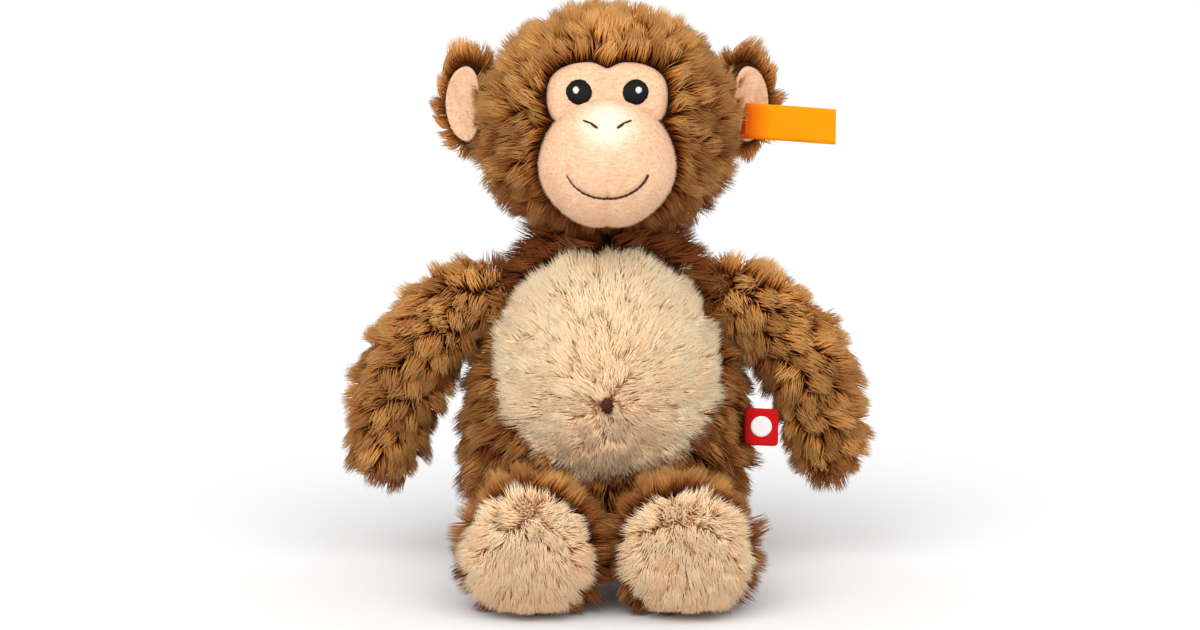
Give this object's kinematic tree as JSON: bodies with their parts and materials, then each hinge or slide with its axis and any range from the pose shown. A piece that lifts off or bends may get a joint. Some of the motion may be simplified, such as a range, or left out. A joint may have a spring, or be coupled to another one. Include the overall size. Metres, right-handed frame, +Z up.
{
  "type": "seated plush monkey toy",
  "caption": "Seated soft toy monkey with long-pile plush skin, short-pile face, embroidered features, jointed limbs and head, and fabric tags at one ear and one hip.",
  "frame": {"origin": "on the ground under the middle of the torso, at the middle of the flat seat", "axes": "+Z up through the neck, the toy faces -Y, and its own left side, which carries both tags, is +X"},
  "size_m": [0.203, 0.1517, 0.22],
  "materials": {
    "brown_plush": "matte",
    "peach_plush": "matte",
    "peach_velour": "matte",
    "black_thread": "satin",
    "white_thread": "satin",
    "brown_thread": "satin",
    "filling": "matte",
    "bag_cloth": "matte",
    "yellow_ribbon": "satin",
    "red_label": "satin"
  },
  "bodies": {
    "torso": {"torso_base": "brown_plush", "torso_front_left": "brown_plush", "torso_front_right": "brown_plush", "torso_back_left": "brown_plush", "torso_back_right": "brown_plush", "belly_patch": "peach_plush", "navel_knot": "brown_thread", "torso_stuffing": "filling", "seat_pellet_bag": "bag_cloth", "hip_thread_left": "brown_thread", "hip_thread_right": "brown_thread"},
    "neck_seam": {"neck_thread": "brown_thread"},
    "head": {"head_gusset": "brown_plush", "head_side_left": "brown_plush", "head_side_right": "brown_plush", "eye_panel": "peach_velour", "muzzle_left": "peach_velour", "muzzle_right": "peach_velour", "head_stuffing": "filling", "eye_left": "black_thread", "eye_right": "black_thread", "eye_glint_left": "white_thread", "eye_glint_right": "white_thread", "nostril_left": "brown_thread", "nostril_right": "brown_thread", "mouth_stitch": "brown_thread"},
    "ear_left": {"ear_left_back": "brown_plush", "ear_left_lining": "peach_velour"},
    "ear_right": {"ear_right_back": "brown_plush", "ear_right_lining": "peach_velour"},
    "ear_tag": {"ear_tag_ribbon": "yellow_ribbon", "ear_tag_stitch": "white_thread"},
    "side_tag": {"side_tag_label": "red_label"},
    "shoulder_seam_left": {"shoulder_thread_left": "brown_thread"},
    "shoulder_seam_right": {"shoulder_thread_right": "brown_thread"},
    "arm_left": {"arm_left_front_panel": "brown_plush", "arm_left_back_panel": "brown_plush", "arm_left_stuffing": "filling"},
    "arm_right": {"arm_right_front_panel": "brown_plush", "arm_right_back_panel": "brown_plush", "arm_right_stuffing": "filling"},
    "leg_left": {"leg_left_upper_panel": "brown_plush", "leg_left_under_panel": "brown_plush", "leg_left_sole": "peach_plush", "leg_left_stuffing": "filling"},
    "leg_right": {"leg_right_upper_panel": "brown_plush", "leg_right_under_panel": "brown_plush", "leg_right_sole": "peach_plush", "leg_right_stuffing": "filling"}
  },
  "joints": [
    {"name": "neck_turn", "type": "hinge", "parent": "torso", "child": "neck_seam", "pos_m": [0, 0, 0.103], "axis": [0, 0, 1], "range_deg": [-45, 45]},
    {"name": "neck_nod", "type": "hinge", "parent": "neck_seam", "child": "head", "pos_m": [0, 0, 0.103], "axis": [1, 0, 0], "range_deg": [-12, 15]},
    {"name": "arm_left_swing", "type": "hinge", "parent": "torso", "child": "shoulder_seam_left", "pos_m": [0.05014, 0, 0.107], "axis": [-1, 0, 0], "range_deg": [-50, 110]},
    {"name": "arm_left_lift", "type": "hinge", "parent": "shoulder_seam_left", "child": "arm_left", "pos_m": [0.05014, 0, 0.107], "axis": [0, -1, 0], "range_deg": [-4, 75]},
    {"name": "leg_left_lift", "type": "hinge", "parent": "torso", "child": "leg_left", "pos_m": [0.025, -0.05449, 0.024], "axis": [-1, 0, 0], "range_deg": [-35, 40]},
    {"name": "ear_left_fold", "type": "hinge", "parent": "head", "child": "ear_left", "pos_m": [0.0516, 0.004, 0.184], "axis": [0, 0, 1], "range_deg": [-30, 40]},
    {"name": "arm_right_swing", "type": "hinge", "parent": "torso", "child": "shoulder_seam_right", "pos_m": [-0.05014, 0, 0.107], "axis": [-1, 0, 0], "range_deg": [-50, 110]},
    {"name": "arm_right_lift", "type": "hinge", "parent": "shoulder_seam_right", "child": "arm_right", "pos_m": [-0.05014, 0, 0.107], "axis": [0, 1, 0], "range_deg": [-4, 75]},
    {"name": "leg_right_lift", "type": "hinge", "parent": "torso", "child": "leg_right", "pos_m": [-0.025, -0.05449, 0.024], "axis": [-1, 0, 0], "range_deg": [-35, 40]},
    {"name": "ear_right_fold", "type": "hinge", "parent": "head", "child": "ear_right", "pos_m": [-0.0516, 0.004, 0.184], "axis": [0, 0, -1], "range_deg": [-30, 40]},
    {"name": "ear_tag_flap", "type": "hinge", "parent": "ear_left", "child": "ear_tag", "pos_m": [0.0536, -0.0014, 0.178], "axis": [0, 0, 1], "range_deg": [-45, 20]},
    {"name": "side_tag_flap", "type": "hinge", "parent": "torso", "child": "side_tag", "pos_m": [0.0547, -0.012, 0.057], "axis": [0, 0, 1], "range_deg": [-50, 50]}
  ]
}
